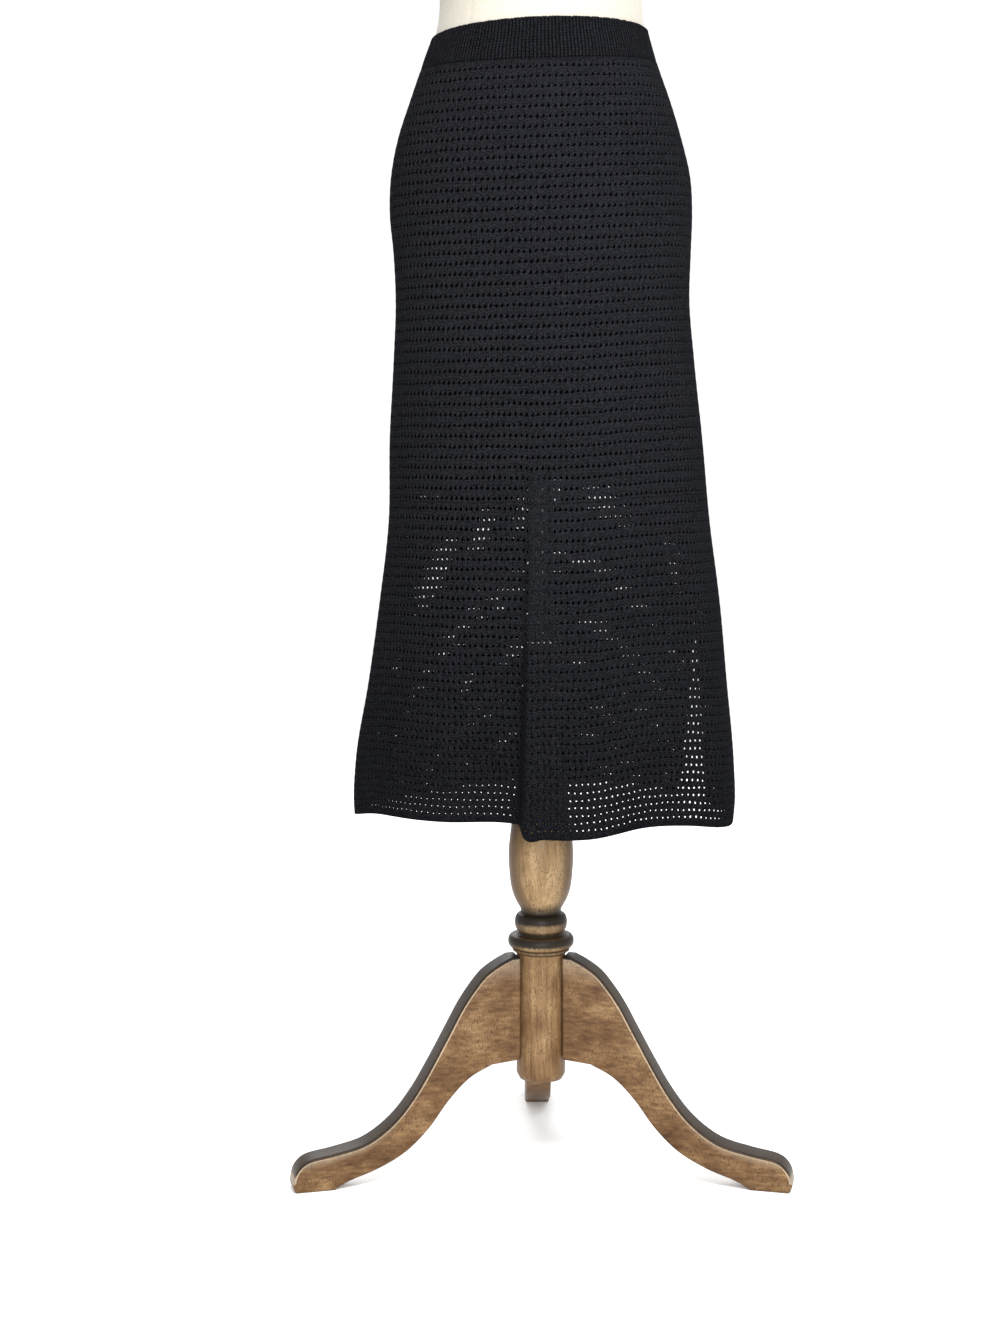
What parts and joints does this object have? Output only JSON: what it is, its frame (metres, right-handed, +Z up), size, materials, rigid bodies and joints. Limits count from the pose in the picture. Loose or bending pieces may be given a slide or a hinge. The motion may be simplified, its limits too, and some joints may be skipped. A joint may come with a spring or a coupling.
{
  "type": "bodycon midi skirt on a dress form",
  "caption": "Black openwork knit midi skirt with a ribbed waistband and short lining, worn by a limbless dress form on a turned wooden tripod stand.",
  "frame": {"origin": "centre of the whole object's box, on the floor", "axes": "+Z up, -Y is the skirt's front, +X is the viewer's right"},
  "size_m": [0.5158, 0.4168, 1.6863],
  "materials": {
    "net_knit": "matte black net knit with rows of small open holes",
    "rib_knit": "matte black one-by-one rib",
    "lining_jersey": "plain black jersey",
    "form_cover": "smooth pale cover cloth",
    "antiqued_wood": "brown-gold stain with dark glaze in the turnings, satin",
    "steel": "brushed"
  },
  "bodies": {
    "root": {"waistband": "rib_knit", "front_panel": "net_knit", "back_panel": "net_knit", "lining": "lining_jersey", "dress_form": "form_cover", "neck_cap": "antiqued_wood", "form_base": "antiqued_wood", "shaft": "steel", "collar": "steel", "baluster": "antiqued_wood", "leg_back": "antiqued_wood", "leg_left": "antiqued_wood", "leg_right": "antiqued_wood"}
  },
  "joints": []
}
